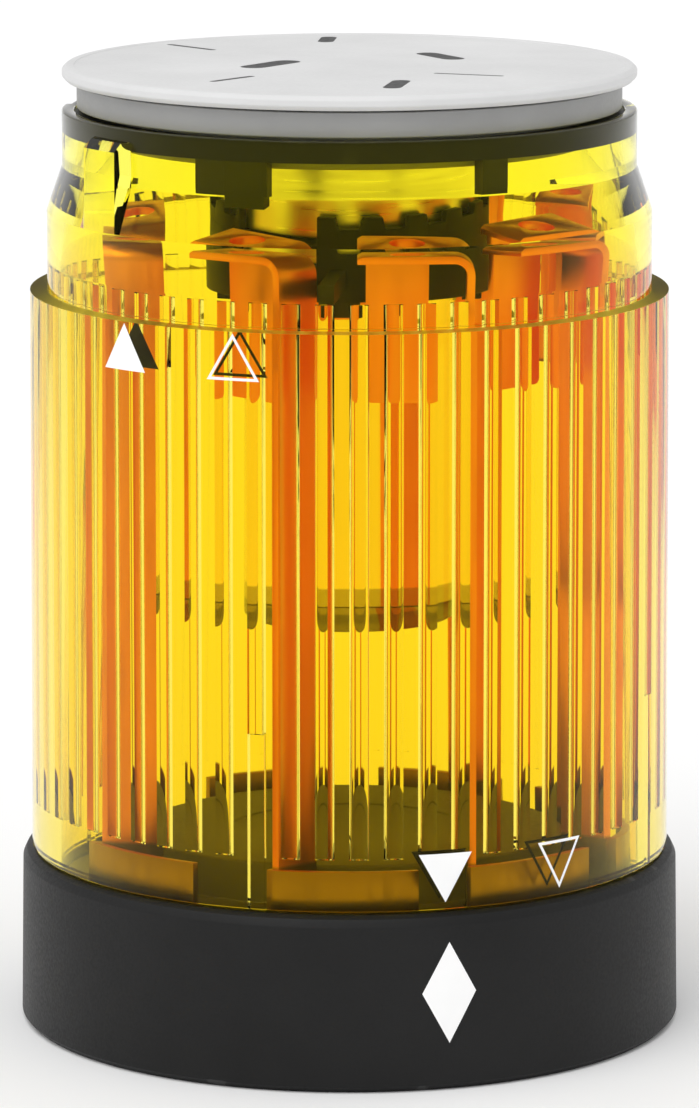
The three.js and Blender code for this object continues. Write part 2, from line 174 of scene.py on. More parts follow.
def rounded(corners, steps=3, closed=True):
    """An outline whose corners (a, b, fillet) are turned into arcs."""
    points = []
    for k, (a, b, fillet) in enumerate(corners):
        here = np.array([a, b], float)
        if fillet <= 0 or (not closed and k in (0, len(corners) - 1)):
            points.append((a, b))
            continue
        before = np.array(corners[k - 1][:2], float) - here
        after = np.array(corners[(k + 1) % len(corners)][:2], float) - here
        before /= np.linalg.norm(before)
        after /= np.linalg.norm(after)
        half = math.acos(float(np.clip(before @ after, -1, 1))) / 2
        middle = (before + after) / np.linalg.norm(before + after)
        centre = here + middle * fillet / math.sin(half)
        first = here + before * fillet / math.tan(half) - centre
        last = here + after * fillet / math.tan(half) - centre
        start = math.atan2(first[1], first[0])
        sweep = (math.atan2(last[1], last[0]) - start + math.pi) % (2 * math.pi) - math.pi
        for i in range(steps + 1):
            angle = start + sweep * i / steps
            points.append((centre[0] + fillet * math.cos(angle), centre[1] + fillet * math.sin(angle)))
    return points


def turned(name, profile, columns, reshape=None, sharp_degrees=32.0):
    """A profile of (radius, height) turned about Z. A profile that starts and ends on the axis gets
    a point there, and any other is a loop. reshape(angles, radii, heights) may move the points."""
    angles = np.linspace(0, 360, columns, endpoint=False) if np.isscalar(columns) else np.asarray(columns)
    count = len(angles)
    on_axis = profile[0][0] == 0 and profile[-1][0] == 0
    rows = profile[1:-1] if on_axis else profile
    radii = np.repeat(np.array([r for r, _ in rows], float)[:, None], count, axis=1)
    heights = np.repeat(np.array([z for _, z in rows], float)[:, None], count, axis=1)
    if reshape:
        radii, heights = reshape(np.repeat(angles[None, :], len(rows), axis=0), radii, heights)
    vertices = at_angle(radii, angles[None, :], heights).reshape(-1, 3).tolist()
    faces = []
    for i in range(len(rows) - 1 if on_axis else len(rows)):
        above = (i + 1) % len(rows)
        for j in range(count):
            beside = (j + 1) % count
            faces.append((i * count + j, i * count + beside, above * count + beside, above * count + j))
    if on_axis:
        bottom, top = len(vertices), len(vertices) + 1
        vertices += [(0, 0, profile[0][1]), (0, 0, profile[-1][1])]
        last = (len(rows) - 1) * count
        for j in range(count):
            beside = (j + 1) % count
            faces.append((bottom, beside, j))
            faces.append((top, last + j, last + beside))
    return make_object(name, vertices, faces, sharp_degrees)


def prism(name, outline, low, high, place=lambda a, b, c: (a, b, c)):
    """A closed prism: an outline of (a, b), carried from c = low to c = high."""
    count = len(outline)
    vertices = [place(a, b, low) for a, b in outline] + [place(a, b, high) for a, b in outline]
    faces = [tuple(reversed(range(count))), tuple(range(count, 2 * count))]
    for j in range(count):
        beside = (j + 1) % count
        faces.append((j, beside, count + beside, count + j))
    return facing_out(make_object(name, vertices, faces))


def facing_out(made):
    """Turns a closed mesh's faces round if they face in."""
    corners = np.array([v.co for v in made.data.vertices])
    made.data.calc_loop_triangles()
    triangles = np.array([t.vertices for t in made.data.loop_triangles])
    a, b, c = (corners[triangles[:, k]] for k in range(3))
    if np.einsum("ij,ij->i", a, np.cross(b, c)).sum() < 0:
        made.data.flip_normals()
    return made


def side_on(a, b, c):
    """Places an XZ outline that is carried along Y."""
    return a, c, b


def block(low, high):
    """A box between two corners, as a cutting or joining tool."""
    outline = [(low[0], low[1]), (high[0], low[1]), (high[0], high[1]), (low[0], high[1])]
    return prism("tool", outline, low[2], high[2])


def sector(inner, outer, start, end, low, high, step=3.0):
    """A piece of a tube between two angles."""
    count = max(2, int(abs(end - start) / step) + 1)
    turns = np.linspace(start, end, count)
    outside = [tuple(at_angle(outer, t, 0.0)[:2]) for t in turns]
    inside = [tuple(at_angle(inner, t, 0.0)[:2]) for t in turns[::-1]]
    return prism("tool", outside + inside, low, high)


def turn_mesh(made, degrees):
    made.data.transform(Matrix.Rotation(math.radians(degrees), 4, "Z"))
    return made


def combine(base, tools, operation):
    """Joins tools to base, or cuts them from it, and removes them."""
    for tool in tools:
        cut = base.modifiers.new("combine", "BOOLEAN")
        cut.operation = operation
        cut.solver = "MANIFOLD"
        cut.object = tool
        bpy.context.view_layer.update()
        solved = bpy.data.meshes.new_from_object(base.evaluated_get(bpy.context.evaluated_depsgraph_get()))
        base.modifiers.clear()
        base.data = solved
        bpy.data.objects.remove(tool)
    return base


def soften(made, width, segments=2, sharp_degrees=35.0):
    """Rounds the sharp edges of a finished mesh by width."""
    bevel = made.modifiers.new("edges", "BEVEL")
    bevel.width = width * MM
    bevel.segments = segments
    bevel.limit_method = "ANGLE"
    bevel.angle_limit = math.radians(40)
    bpy.context.view_layer.update()
    solved = bpy.data.meshes.new_from_object(made.evaluated_get(bpy.context.evaluated_depsgraph_get()))
    made.modifiers.clear()
    made.data = solved
    made.data.shade_smooth()
    made.data.set_sharp_from_angle(angle=math.radians(sharp_degrees))
    return made


def within(angles, start, end):
    """True where an angle lies from start to end, going up."""
    return (angles - start) % 360 <= (end - start) % 360


def around(count, first):
    return [first + 360.0 / count * k for k in range(count)]


# ---------- materials ----------
MATT_ROUGHNESS, MATT_REACH = 0.8, 0.04
# How far, in millimetres, the painted shade at the foot of the copper strips fades in.
FOOT_SHADE_BLEND = 0.2


def linear(code):
    """The linear colour of an sRGB hex code."""
    channels = [int(code[k:k + 2], 16) / 255 for k in (1, 3, 5)]
    return [c / 12.92 if c <= 0.04045 else ((c + 0.055) / 1.055) ** 2.4 for c in channels] + [1.0]


def new_material(name):
    """A material with its node tree, its Principled shader and object coordinates."""
    material = bpy.data.materials.new(name)
    material.use_nodes = True
    tree = material.node_tree
    shader = tree.nodes["Principled BSDF"]
    place = tree.nodes.new("ShaderNodeTexCoord").outputs["Object"]
    return material, tree, shader, place


def noise(tree, place, size, detail=3.0, stretch=(1, 1, 1)):
    """Noise whose features are about size millimetres across, longer where stretch is above 1."""
    mapping = tree.nodes.new("ShaderNodeMapping")
    mapping.inputs["Scale"].default_value = [1 / (size * MM * s) for s in stretch]
    texture = tree.nodes.new("ShaderNodeTexNoise")
    texture.inputs["Scale"].default_value = 1.0
    texture.inputs["Detail"].default_value = detail
    tree.links.new(place, mapping.inputs["Vector"])
    tree.links.new(mapping.outputs["Vector"], texture.inputs["Vector"])
    return texture.outputs["Fac"]


def mapped(tree, value, low, high, start=0.3, end=0.7):
    """A value carried from start..end to low..high."""
    scale = tree.nodes.new("ShaderNodeMapRange")
    scale.inputs["From Min"].default_value = start
    scale.inputs["From Max"].default_value = end
    scale.inputs["To Min"].default_value = low
    scale.inputs["To Max"].default_value = high
    tree.links.new(value, scale.inputs["Value"])
    return scale.outputs["Result"]


def mixed(tree, amount, first, second):
    """A colour between two, where either may be a colour or another node's output."""
    mix = tree.nodes.new("ShaderNodeMix")
    mix.data_type = "RGBA"
    tree.links.new(amount, mix.inputs["Factor"])
    for socket, colour in ((mix.inputs[6], first), (mix.inputs[7], second)):
        if isinstance(colour, bpy.types.NodeSocket):
            tree.links.new(colour, socket)
        else:
            socket.default_value = colour
    return mix.outputs[2]


def bumped(tree, shader, height, distance, strength=1.0):
    bump = tree.nodes.new("ShaderNodeBump")
    bump.inputs["Distance"].default_value = distance * MM
    bump.inputs["Strength"].default_value = strength
    tree.links.new(height, bump.inputs["Height"])
    tree.links.new(bump.outputs["Normal"], shader.inputs["Normal"])


def plastic(name, dark, light, roughness, grain_size, grain_depth, edge=None, specular=0.5):
    """Moulded plastic: a slow colour change, fine grain, and a paler tone on sharp edges, which is a painted
    highlight.
    """
    material, tree, shader, place = new_material(name)
    slow = noise(tree, place, 14.0)
    grain = noise(tree, place, grain_size, detail=2.0)
    colour = mixed(tree, mapped(tree, slow, 0.0, 1.0), linear(dark), linear(light))
    if edge:
        # Painted highlight: sharp edges, found by pointiness, get the paler edge colour.
        sharp = tree.nodes.new("ShaderNodeNewGeometry").outputs["Pointiness"]
        colour = mixed(tree, mapped(tree, sharp, 0.0, 0.8, 0.52, 0.60), colour, linear(edge))
    tree.links.new(colour, shader.inputs["Base Color"])
    tree.links.new(mapped(tree, grain, roughness - 0.06, roughness + 0.06), shader.inputs["Roughness"])
    shader.inputs["Specular IOR Level"].default_value = specular
    bumped(tree, shader, grain, grain_depth)
    return material


def clear_plastic(name, colours, heights, roughness, ior, shine, matt_height=None):
    """See-through plastic whose tint goes through the colours at the given heights. shine tints what
    it reflects. A face at matt_height is matt and every other one has the given roughness."""
    material, tree, shader, place = new_material(name)
    parts = tree.nodes.new("ShaderNodeSeparateXYZ")
    tree.links.new(place, parts.inputs["Vector"])
    low, high = heights[0] * MM, heights[-1] * MM
    ramp = tree.nodes.new("ShaderNodeValToRGB")
    while len(ramp.color_ramp.elements) < len(colours):
        ramp.color_ramp.elements.new(0.5)
    for element, colour, height in zip(ramp.color_ramp.elements, colours, heights):
        element.position = (height - heights[0]) / (heights[-1] - heights[0])
        element.color = [*colour, 1.0]
    tree.links.new(mapped(tree, parts.outputs["Z"], 0.0, 1.0, low, high), ramp.inputs["Fac"])
    flow = noise(tree, place, 9.0, detail=2.0, stretch=(1, 1, 6))
    darker = tree.nodes.new("ShaderNodeHueSaturation")
    darker.inputs["Value"].default_value = 0.985
    tree.links.new(ramp.outputs["Color"], darker.inputs["Color"])
    body = mixed(tree, mapped(tree, flow, 0.0, 1.0), ramp.outputs["Color"], darker.outputs["Color"])
    tree.links.new(body, shader.inputs["Base Color"])
    shader.inputs["Transmission Weight"].default_value = 1.0
    shader.inputs["IOR"].default_value = ior
    shader.inputs["Specular Tint"].default_value = [*shine, 1.0]
    shader.inputs["Roughness"].default_value = roughness
    if matt_height:
        is_matt = tree.nodes.new("ShaderNodeMath")
        is_matt.operation = "COMPARE"
        is_matt.inputs[1].default_value = matt_height * MM
        is_matt.inputs[2].default_value = MATT_REACH * MM
        tree.links.new(parts.outputs["Z"], is_matt.inputs[0])
        varied = mapped(tree, is_matt.outputs["Value"], roughness, MATT_ROUGHNESS, 0.0, 1.0)
        tree.links.new(varied, shader.inputs["Roughness"])
    bumped(tree, shader, flow, 0.01, 0.3)
    return material


def metal(name, base, tarnish, roughness, grain_size, stretch, depth=0.004, edge=None, foot=None):
    """Sheet metal: rolling or turning lines, slow tarnish and brighter sharp edges, which are a painted
    highlight. foot is the colour of a painted shade on the lowest part and the height in millimetres that it
    reaches up to."""
    material, tree, shader, place = new_material(name)
    lines = noise(tree, place, grain_size, detail=3.0, stretch=stretch)
    slow = noise(tree, place, 5.0)
    colour = mixed(tree, mapped(tree, slow, 0.0, 0.6), base, tarnish)
    if edge:
        # Painted highlight: sharp edges, found by pointiness, get the brighter edge colour.
        sharp = tree.nodes.new("ShaderNodeNewGeometry").outputs["Pointiness"]
        colour = mixed(tree, mapped(tree, sharp, 0.0, 0.7, 0.53, 0.62), colour, edge)
    # Painted shade: below the foot height the colour turns dark brown, as on the shaded feet of the strips.
    if foot:
        parts = tree.nodes.new("ShaderNodeSeparateXYZ")
        tree.links.new(place, parts.inputs["Vector"])
        foot_shade_colour, foot_shade_top = foot
        start, end = (foot_shade_top - FOOT_SHADE_BLEND) * MM, (foot_shade_top + FOOT_SHADE_BLEND) * MM
        colour = mixed(tree, mapped(tree, parts.outputs["Z"], 0.0, 1.0, start, end), foot_shade_colour, colour)
    tree.links.new(colour, shader.inputs["Base Color"])
    shader.inputs["Metallic"].default_value = 1.0
    tree.links.new(mapped(tree, lines, roughness - 0.08, roughness + 0.08), shader.inputs["Roughness"])
    bumped(tree, shader, lines, depth, 0.6)
    return material


LOOKS = {
    "lens": clear_plastic(
        "lens_yellow",
        [(0.92, 0.78, 0.09), (1.0, 0.81, 0.10), (1.0, 0.84, 0.10), (1.0, 0.94, 0.12), (1.0, 0.94, 0.12)],
        [16.0, 24.0, 82.0, 92.0, 101.0],
        0.02, 1.53, (0.2, 0.18, 0.07), SHOULDER,
    ),
    # The rod's dark tint from 45 to 47.15 mm is a painted reflection of the dark floor under its lower end.
    # Above it is the rod's amber.
    "rod": clear_plastic(
        "rod_amber",
        [(0.26, 0.22, 0.10), (0.26, 0.22, 0.10), (0.97, 0.80, 0.48), (0.97, 0.80, 0.48)],
        [45.0, 47.15, 47.2, 83.0],
        0.05, 1.49, (0.6, 0.55, 0.35),
    ),
    "ring": plastic("ring_black", "#151515", "#1b1b1b", 0.5, 0.35, 0.012, edge="#3a3a3a", specular=0.22),
    "black": plastic("inner_black", "#1e1e1e", "#262626", 0.5, 0.5, 0.01, edge="#343434", specular=0.3),
    "floor": plastic("floor_grey", "#6a6a60", "#74746a", 0.5, 0.5, 0.01, specular=0.3),
    "rubber": plastic("seal_rubber", "#181818", "#202020", 0.75, 0.25, 0.02),
    "white": plastic("cover_white", "#d0d0d0", "#dadada", 0.45, 0.4, 0.008),
    "grey": plastic("collar_grey", "#949494", "#a0a0a0", 0.5, 0.4, 0.01),
    "board": plastic("board_green", "#1f5a30", "#2b6b3b", 0.4, 0.6, 0.01),
    "led": plastic("led_phosphor", "#e8d24a", "#f3e27a", 0.35, 0.3, 0.005),
    "white_print": plastic("white_print", "#f2f2f2", "#ffffff", 0.4, 0.3, 0.002),
    "black_print": plastic("black_print", "#101010", "#181818", 0.5, 0.3, 0.002),
    # The copper's dark brown foot colour is a painted shade on the strips' feet.
    "copper": metal(
        "contact_copper", (1.0, 0.30, 0.12, 1), (0.97, 0.24, 0.09, 1), 0.36, 0.7, (1, 1, 14), depth=0.001,
        edge=(1.0, 0.40, 0.18, 1), foot=((0.36, 0.23, 0.08, 1), 23.4),
    ),
    "bronze": metal(
        "spring_bronze", (0.80, 0.56, 0.28, 1), (0.70, 0.46, 0.22, 1), 0.3, 0.5, (8, 1, 1),
        edge=(0.9, 0.7, 0.4, 1),
    ),
    "steel": metal(
        "sleeve_metal", (1.0, 0.95, 0.88, 1), (0.94, 0.88, 0.80, 1), 0.34, 0.35, (30, 30, 1), depth=0.006,
    ),
    "solder": metal("solder", (0.75, 0.75, 0.74, 1), (0.6, 0.6, 0.6, 1), 0.3, 0.5, (1, 1, 1)),
}


def finish_piece(made, body, look, slot, *nodes):
    """Gives a piece its look and body, and lets it stand for its CAD nodes. slot is not used."""
    made.data.materials.clear()
    made.data.materials.append(LOOKS[look])
    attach(made, body)
    if nodes:
        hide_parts(*nodes)
    return made


# ---------- lens ----------
def lens_columns():
    """Angles for the lens grid: close together on each rib, wider on the flat beside it."""
    on_rib = np.linspace(-RIB_HALF_ANGLE, RIB_HALF_ANGLE, 13)
    on_flat = np.linspace(RIB_HALF_ANGLE, RIB_PERIOD - RIB_HALF_ANGLE, 7)[1:-1]
    one = np.concatenate([on_rib, on_flat])
    all_ribs = [centre + one for centre in around(RIBS["count"], RIBS["first"])]
    insets = (0.0, KEY["slope"])
    key_sides = [KEY["angle"] + side * (KEY["half_angle"] - inset) for side in (-1, 1) for inset in insets]
    return np.sort(np.concatenate([*all_ribs, key_sides]) % 360)


def rib_depth(angles):
    """How far a rib stands into the bore at each angle."""
    off = (angles - RIBS["first"] + RIB_PERIOD / 2) % RIB_PERIOD - RIB_PERIOD / 2
    return RIBS["depth"] * np.clip(1 - (off / RIB_HALF_ANGLE) ** 2, 0, None)


def shape_lens(angles, radii, heights):
    """Ribs and rails in the bore, the key and the bayonet tracks on the neck, and the stop's notch."""
    bore = np.abs(radii - LENS_BORE) < 0.001
    ribbed = bore & (heights > RIBS["low"]) & (heights < RIBS["high"])
    radii = np.where(ribbed, LENS_BORE - rib_depth(angles), radii)
    half_rail = math.degrees(RAILS["width"] / LENS_BORE) / 2
    for rail in around(RAILS["count"], RAILS["first"]):
        on_rail = bore & within(angles, rail - half_rail, rail + half_rail)
        on_rail &= (heights > RAILS["low"]) & (heights < RAILS["high"])
        radii = np.where(on_rail, np.minimum(radii, LENS_BORE - RAILS["depth"]), radii)
    off_key = np.abs((angles - KEY["angle"] + 180) % 360 - 180)
    key_edge = np.clip((KEY["half_angle"] - off_key) / KEY["slope"], 0, 1)
    key_top = KEY["radius"] - np.clip(heights - (KEY["high"] - KEY["corner"]), 0, None)
    key_top = np.where(heights < KEY["high"], key_top, radii)
    on_cone = (radii > NECK_MIDDLE) & (heights > CONE_START + 0.1)
    radii = np.where(on_cone, radii + key_edge * np.clip(key_top - radii, 0, None), radii)
    outside = (radii > NECK_MIDDLE) & (heights > TRACK_LOW)
    for way_in in TRACK["ways_in"]:
        half = TRACK["half_angle"]
        sunk = outside & within(angles, way_in - half, way_in + half)
        sunk |= outside & (heights < TRACK_HIGH) & within(angles, way_in - TURN - half, way_in)
        radii = np.where(sunk, np.minimum(radii, TRACK["floor"]), radii)
    notch_start = STOP["angle"] - STOP["half_angle"] - STOP["play"]
    notch_end = STOP["angle"] + STOP["half_angle"] + TURN + STOP["play"]
    bead = within(angles, notch_start, notch_end) & (heights < BEAD_TOP + 0.1) & (radii > SKIRT_RADIUS)
    return np.where(bead, SKIRT_RADIUS, radii), heights


def cone_radius(height):
    share = (height - CONE_START) / (CONE_END - CONE_START)
    return NECK_LOW_RADIUS + (NECK_RADIUS - NECK_LOW_RADIUS) * share


def lens_profile():
    steps_inside = [RIBS["high"], RAILS["high"], RIBS["low"], RAILS["low"]]
    inside = [(LENS_BORE, height + offset, 0) for height in steps_inside for offset in (STEP, -STEP)]
    return rounded([
        (LENS_BORE, LENS_LOW[2], 0.15),
        (BEAD_RADIUS, LENS_LOW[2], 0.2),
        (BEAD_RADIUS, BEAD_TOP, 0.15),
        (SKIRT_RADIUS, BEAD_TOP, 0.1),
        (SKIRT_RADIUS, WALL_START, 0.1),
        (WALL_LOW_RADIUS, WALL_START, 0.2),
        (WALL_HIGH_RADIUS, SHOULDER, 0.08),
        (NECK_LOW_RADIUS, SHOULDER, 0.08),
        (NECK_LOW_RADIUS, CONE_START, 0.05),
        (cone_radius(TRACK_LOW - STEP), TRACK_LOW - STEP, 0),
        (cone_radius(TRACK_LOW + STEP), TRACK_LOW + STEP, 0),
        (NECK_RADIUS, CONE_END, 0.05),
        (NECK_RADIUS, TRACK_HIGH - STEP, 0),
        (NECK_RADIUS, TRACK_HIGH + STEP, 0),
        (NECK_RADIUS, KEY["high"] - KEY["corner"], 0),
        (NECK_RADIUS, KEY["high"] - STEP, 0),
        (NECK_RADIUS, KEY["high"] + STEP, 0),
        (NECK_RADIUS, NECK_TOP, 0.25),
        (NECK_BORE, NECK_TOP, 0.2),
        (NECK_BORE, TAPER_END, 0.1),
        (LENS_BORE, TAPER_START, 0.1),
        *inside,
    ])


def build_lens():
    lens = turned("lens_shell", lens_profile(), lens_columns(), shape_lens, 28.0)
    finish_piece(lens, HOUSING, "lens", "lens_yellow", "lens")


# ---------- turning ring ----------
def shape_ring(angles, radii, heights):
    """Lugs with softened edges and the stop tooth, which stand in from the bore."""
    edge, end_depth, end_degrees = (LUG_EASE[k] for k in ("edge", "end", "end_degrees"))
    bore = np.abs(radii - RING_BORE) < 0.001
    for lug in LUGS["angles"]:
        start, end = lug - LUGS["half_angle"], lug + LUGS["half_angle"]
        on_lug = bore & within(angles, start, end)
        on_lug &= (heights > LUGS["low"] - 0.001) & (heights < LUGS["high"] + 0.001)
        near_end = np.minimum((angles - start) % 360, (end - angles) % 360)
        near_edge = np.minimum(heights - LUGS["low"], LUGS["high"] - heights)
        eased = edge * np.clip(1 - near_edge / edge, 0, 1)
        eased = eased + end_depth * np.clip(1 - near_end / end_degrees, 0, 1)
        radii = np.where(on_lug, LUGS["inner"] + eased, radii)
    on_stop = bore & within(angles, STOP["angle"] - STOP["half_angle"], STOP["angle"] + STOP["half_angle"])
    on_stop &= (heights > STOP["low"]) & (heights < STOP["high"])
    return np.where(on_stop, STOP["inner"], radii), heights


def build_ring():
    low, high, ease = LUGS["low"], LUGS["high"], LUG_EASE["edge"]
    lug_rows = [high + STEP, high, high - ease, low + ease, low, low - STEP]
    stop_rows = [STOP["high"] + STEP, STOP["high"] - STEP, STOP["low"] + STEP, STOP["low"] - STEP]
    profile = rounded([
        (RING_BORE, 0.0, 0.2),
        (RING_RADIUS - RING_CHAMFER, 0.0, 0.15),
        (RING_RADIUS, RING_CHAMFER, 0.2),
        (RING_TOP_RADIUS, RING_HEIGHT - RING_ROUNDING, 0.5),
        (RING_TOP_RADIUS - 0.4, RING_HEIGHT - 0.35, 0.3),
        (RING_TOP_RADIUS - RING_ROUNDING, RING_HEIGHT, 0.3),
        (RING_LIP_RADIUS, RING_HEIGHT, 0.15),
        (RING_LIP_RADIUS, RING_HEIGHT - RING_LIP_HEIGHT, 0.1),
        (RING_BORE, RING_HEIGHT - RING_LIP_HEIGHT, 0),
        *[(RING_BORE, height, 0) for height in stop_rows + lug_rows],
    ])
    ring = turned("bayonet_ring", profile, 720, shape_ring)
    finish_piece(ring, RING_BODY, "ring", "ring_black", "base_ring")


# ---------- printed marks ----------
def span_at(polygon, place):
    """The lowest and highest point of a convex polygon at one place across it."""
    heights = []
    for (a0, b0), (a1, b1) in zip(polygon, polygon[1:] + polygon[:1]):
        if abs(a1 - a0) < 1e-9:
            if abs(place - a0) < 1e-6:
                heights += [b0, b1]
        elif min(a0, a1) - 1e-6 <= place <= max(a0, a1) + 1e-6:
            heights.append(b0 + (b1 - b0) * (place - a0) / (a1 - a0))
    return min(heights), max(heights)


def wrapped(name, marks, radius_at, thickness):
    """Thin closed patches laid round a turned surface. A mark is its angle and its convex polygons,
    each a list of (place across, height)."""
    vertices, faces = [], []
    for angle, polygons in marks:
        for polygon in polygons:
            across = [a for a, _ in polygon]
            even = np.linspace(min(across), max(across), 15)
            places = sorted(set(np.round(even, 6)) | set(np.round(across, 6)))
            first = len(vertices)
            for place in places:
                low, high = span_at(polygon, place)
                if high - low < 0.01:
                    low, high = (low + high) / 2 - 0.005, (low + high) / 2 + 0.005
                for height, lift in ((low, 0), (low, thickness), (high, thickness), (high, 0)):
                    radius = radius_at(height)
                    turn = angle + math.degrees(place / radius)
                    vertices.append(at_angle(radius + lift, turn, height))
            for k in range(len(places) - 1):
                here = first + 4 * k
                for side in range(4):
                    after = (side + 1) % 4
                    faces.append((here + side, here + 4 + side, here + 4 + after, here + after))
            last = first + 4 * (len(places) - 1)
            faces.append((first, first + 1, first + 2, first + 3))
            faces.append((last + 3, last + 2, last + 1, last))
    return facing_out(make_object(name, vertices, faces, 20.0))


def triangle(low, high, points_up):
    base, tip = (low, high) if points_up else (high, low)
    return [(-MARK_HALF_WIDTH, base), (MARK_HALF_WIDTH, base), (0.0, tip)]


def outline_strokes(corners, stroke):
    """A triangle's outline as three strokes with mitred ends."""
    corners = [np.array(c, float) for c in corners]
    sides = [np.linalg.norm(corners[(k + 1) % 3] - corners[(k + 2) % 3]) for k in range(3)]
    middle = sum(s * c for s, c in zip(sides, corners)) / sum(sides)
    first, second = corners[1] - corners[0], corners[2] - corners[0]
    inradius = abs(first[0] * second[1] - first[1] * second[0]) / sum(sides)
    inner = [middle + (c - middle) * (1 - stroke / inradius) for c in corners]
    strokes = []
    for k in range(3):
        after = (k + 1) % 3
        strokes.append([tuple(p) for p in (corners[k], corners[after], inner[after], inner[k])])
    return strokes


def lens_marks():
    marks = []
    for group, points_up in ((LOWER_MARKS, False), (UPPER_MARKS, True)):
        shape = triangle(group["low"], group["high"], points_up)
        marks.append((group["solid"], [shape]))
        marks.append((group["outline"], outline_strokes(shape, MARK_STROKE)))
    return marks


def wall_radius(height):
    share = (height - WALL_START) / (SHOULDER - WALL_START)
    return WALL_LOW_RADIUS + (WALL_HIGH_RADIUS - WALL_LOW_RADIUS) * share


def ring_radius(height):
    share = (height - RING_CHAMFER) / (RING_HEIGHT - RING_ROUNDING - RING_CHAMFER)
    return RING_RADIUS + (RING_TOP_RADIUS - RING_RADIUS) * share


def build_marks():
    low, high, half = RING_MARK["low"], RING_MARK["high"], RING_MARK["half_width"]
    middle = (low + high) / 2
    diamond = [(0.0, low), (half, middle), (0.0, high), (-half, middle)]
    gap = 0.01
    ring_print = wrapped(
        "ring_mark", [(RING_MARK["angle"], [diamond])], lambda z: ring_radius(z) + gap, PRINT_THICKNESS,
    )
    finish_piece(ring_print, RING_BODY, "white_print", "cover_white")
    prints = wrapped("lens_marks", lens_marks(), lambda z: wall_radius(z) + gap, PRINT_THICKNESS)
    finish_piece(prints, HOUSING, "white_print", "cover_white")
    # Painted reflection: thin black copies of the marks in the wall stand for the marks' dark backs mirrored
    # by the bore.
    shades = wrapped("lens_mark_shades", lens_marks(), lambda z: MARK_REFLECTION_RADIUS, PRINT_THICKNESS)
    finish_piece(shades, HOUSING, "black_print", "black_plastic")


# ---------- contact strips and springs ----------
def arc(centre, radius, start, end, steps=8):
    """Points of an arc from one angle to another, in degrees from the first axis."""
    turns = [math.radians(start + (end - start) * k / steps) for k in range(steps + 1)]
    return [(centre[0] + radius * math.cos(t), centre[1] + radius * math.sin(t)) for t in turns]


def strip_mesh():
    """One stamped strip at the front: leg, bent tab with a hole, hanging plate, foot and pin."""
    side, thick, bend = STRIP["side"], STRIP["thick"], STRIP["bend"]
    inside, top = side - thick, TAB["top"]
    centre = (side - bend, top - bend)
    outline = [(inside, FOOT["low"]), (side, FOOT["low"])]
    outline += arc(centre, bend, 0, 90)
    outline += [(TAB["end"] + TAB_TIP["run"], top), (TAB["end"], top - TAB_TIP["drop"])]
    outline += [(TAB["end"], top - thick)]
    outline += arc(centre, bend - thick, 90, 0)
    strip = prism("strip", outline, -STRIP["front"], -STRIP["back"], side_on)
    plate_outline = rounded([
        (PLATE["start"], PLATE["bottom"], 0.6),
        (PLATE["end"], PLATE["bottom"], 0.6),
        (PLATE["end"], top - thick / 2, 0),
        (PLATE["start"], top - thick / 2, 0),
    ])
    plate = prism("tool", plate_outline, -STRIP["back"] - thick, -STRIP["back"], side_on)
    toe = block([inside, -FOOT["reach"], FOOT["low"]], [side, -STRIP["front"] + 1, FOOT["high"]])
    start = math.degrees(math.atan2(inside, FOOT["reach"]))
    foot = sector(FOOT["inner"], FOOT["outer"], start, start + FOOT["sweep"], FOOT["low"], FOOT["high"])
    pin = block([inside, -PIN["front"], PIN["bottom"]], [side, -PIN["back"], FOOT["low"] + 1])
    combine(strip, [plate, toe, foot, pin], "UNION")
    middle = -(STRIP["front"] + STRIP["back"]) / 2
    circle = [(TAB["hole_at"] + x, middle + y) for x, y in arc((0, 0), TAB["hole_radius"], 0, 360, 32)[:-1]]
    combine(strip, [prism("tool", circle, top - 2, top + 1)], "DIFFERENCE")
    return soften(strip, 0.09)


def spring_mesh():
    """One leaf under the floor, with a fold at its end and a rounded contact."""
    thick = SPRING["thick"]
    top, low = SPRING_HIGH[2], SPRING_LOW[2] + thick
    line = rounded([
        (STRIP["side"], top, 0),
        (SPRING["bend"], top, 1.2),
        (SPRING["contact"], low, 0.8),
        (SPRING_LOW[0], low + SPRING["tip_lift"], 0),
    ], steps=5, closed=False)
    under = [(a, b - thick) for a, b in reversed(line)]
    leaf = prism("leaf", line + under, -SPRING["front"], -SPRING["back"], side_on)
    return soften(leaf, 0.08)


def build_contacts():
    strip, spring = strip_mesh(), spring_mesh()
    for number, angle in enumerate(STRIP_ANGLES, start=1):
        for source, kind, look, slot in (
            (strip, "strip", "copper", "contact_copper"),
            (spring, "spring", "bronze", "spring_bronze"),
        ):
            copy = source.copy()
            copy.data = source.data.copy()
            copy.name = f"{kind}_{number}"
            bpy.context.scene.collection.objects.link(copy)
            turn_mesh(copy, angle)
            finish_piece(copy, HOUSING, look, slot, f"contact_{kind}_{number}")
    for source in (strip, spring):
        bpy.data.objects.remove(source)


